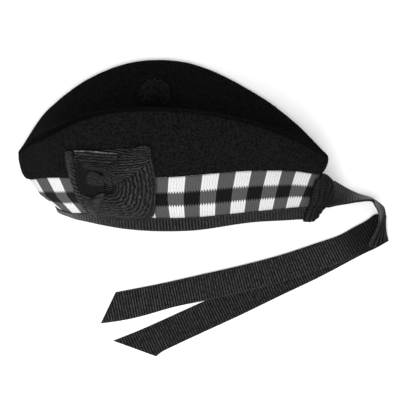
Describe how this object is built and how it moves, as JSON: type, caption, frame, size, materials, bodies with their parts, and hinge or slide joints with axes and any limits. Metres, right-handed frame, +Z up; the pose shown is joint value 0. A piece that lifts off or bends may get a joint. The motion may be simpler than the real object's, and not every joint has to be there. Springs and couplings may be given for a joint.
{
  "type": "glengarry",
  "caption": "Black felt glengarry cap with a diced knitted band, ribbon cockade, woolly toorie and ribbon tails, lying on its side with the crown spread open.",
  "frame": {"origin": "on the crown's flat right side, near the middle of its length, on the surface that the cap lies on", "axes": "+X towards the back of the cap, +Y from the hem towards the crown, +Z up through the left side with the cockade"},
  "size_m": [0.3556, 0.2871, 0.1113],
  "materials": {
    "black_felt": "matt wool felt",
    "diced_knit": "matt wool knit in white, grey and black dice",
    "black_grosgrain": "ribbed ribbon with a soft sheen",
    "black_wool": "woolly tuft"
  },
  "bodies": {
    "root": {"crown_left_side": "black_felt", "crown_top": "black_felt", "crown_right_side": "black_felt", "diced_band": "diced_knit", "hem_binding": "black_grosgrain", "cockade_base": "black_grosgrain", "cockade_rear_loop": "black_grosgrain", "cockade_front_loop": "black_grosgrain", "toorie": "black_wool", "back_knot": "black_grosgrain", "tail_upper": "black_grosgrain", "tail_lower": "black_grosgrain"}
  },
  "joints": []
}
